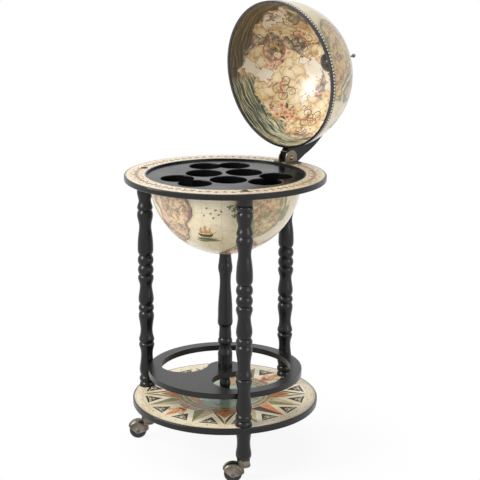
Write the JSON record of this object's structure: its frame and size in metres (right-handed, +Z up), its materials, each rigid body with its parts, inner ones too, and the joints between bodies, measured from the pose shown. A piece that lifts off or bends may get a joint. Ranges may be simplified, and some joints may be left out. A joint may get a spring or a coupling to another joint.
{
  "type": "globe drinks trolley",
  "caption": "Floor-standing globe bar: turned legs on casters, wide printed ring, lower bowl with a drinks tray, and a half-globe lid that swings back on a meridian arm.",
  "frame": {"origin": "on the stand's vertical axis at floor level, under the middle of the base disc", "axes": "+Z up; +Y towards the lid hinge and the rear leg; +X to the right seen from the open side"},
  "size_m": [0.4499, 0.6418, 1.0259],
  "materials": {
    "black_lacquer": "satin black lacquer on turned wood and board",
    "printed_paper": "varnished antique-style print",
    "globe_shell": "moulded half globe with a varnished map print",
    "black_plastic": "glossy black moulding",
    "antique_brass": "dark antique brass",
    "steel": "plain zinc-plated",
    "dowel_wood": "bare beech",
    "wheel_rubber": "smooth black"
  },
  "bodies": {
    "stand": {"horizon_ring": "black_lacquer", "leg_rear": "black_lacquer", "leg_left": "black_lacquer", "leg_right": "black_lacquer", "foot_post_rear": "black_lacquer", "foot_post_left": "black_lacquer", "foot_post_right": "black_lacquer", "centre_post": "black_lacquer", "centre_post_foot": "black_lacquer", "bottle_shelf": "black_lacquer", "base_disc": "black_lacquer", "ring_print": "printed_paper", "base_print": "printed_paper", "lower_bowl": "globe_shell", "drinks_tray": "black_plastic", "hinge_bracket_left": "antique_brass", "hinge_bracket_right": "antique_brass", "hinge_bolt": "antique_brass", "hinge_nut": "antique_brass", "bracket_screws": "antique_brass", "leg_caps": "antique_brass", "caster_stems": "antique_brass", "leg_studs": "steel", "ring_screws": "steel", "post_stud": "steel", "bowl_screw": "steel", "bowl_rim_screws": "steel", "shelf_dowels": "dowel_wood"},
    "lid": {"lid_shell": "globe_shell", "lid_lining": "printed_paper", "lid_rim_hoop": "black_plastic", "meridian_arm": "black_lacquer", "arm_screws": "steel", "pole_finial": "antique_brass", "pole_plate": "antique_brass", "pole_nut": "antique_brass"},
    "swivel_rear": {"caster_hood_rear": "antique_brass", "caster_axle_rear": "antique_brass"},
    "wheel_rear": {"caster_wheel_rear": "wheel_rubber"},
    "swivel_left": {"caster_hood_left": "antique_brass", "caster_axle_left": "antique_brass"},
    "wheel_left": {"caster_wheel_left": "wheel_rubber"},
    "swivel_right": {"caster_hood_right": "antique_brass", "caster_axle_right": "antique_brass"},
    "wheel_right": {"caster_wheel_right": "wheel_rubber"}
  },
  "joints": [
    {"name": "lid_hinge", "type": "hinge", "parent": "stand", "child": "lid", "pos_m": [0, 0.195, 0.665], "axis": [1, 0, 0], "range_deg": [0, 84]},
    {"name": "swivel_rear_turn", "type": "hinge", "parent": "stand", "child": "swivel_rear", "pos_m": [0, 0.1928, 0.045], "axis": [0, 0, 1], "continuous": true},
    {"name": "wheel_rear_spin", "type": "hinge", "parent": "swivel_rear", "child": "wheel_rear", "pos_m": [-0.01569, 0.17598, 0.02], "axis": [-0.7314, 0.682, 0], "continuous": true},
    {"name": "swivel_left_turn", "type": "hinge", "parent": "stand", "child": "swivel_left", "pos_m": [-0.16697, -0.0964, 0.045], "axis": [0, 0, 1], "continuous": true},
    {"name": "wheel_left_spin", "type": "hinge", "parent": "swivel_left", "child": "wheel_left", "pos_m": [-0.18266, -0.11322, 0.02], "axis": [-0.7314, 0.682, 0], "continuous": true},
    {"name": "swivel_right_turn", "type": "hinge", "parent": "stand", "child": "swivel_right", "pos_m": [0.16697, -0.0964, 0.045], "axis": [0, 0, 1], "continuous": true},
    {"name": "wheel_right_spin", "type": "hinge", "parent": "swivel_right", "child": "wheel_right", "pos_m": [0.15128, -0.11322, 0.02], "axis": [-0.7314, 0.682, 0], "continuous": true}
  ]
}
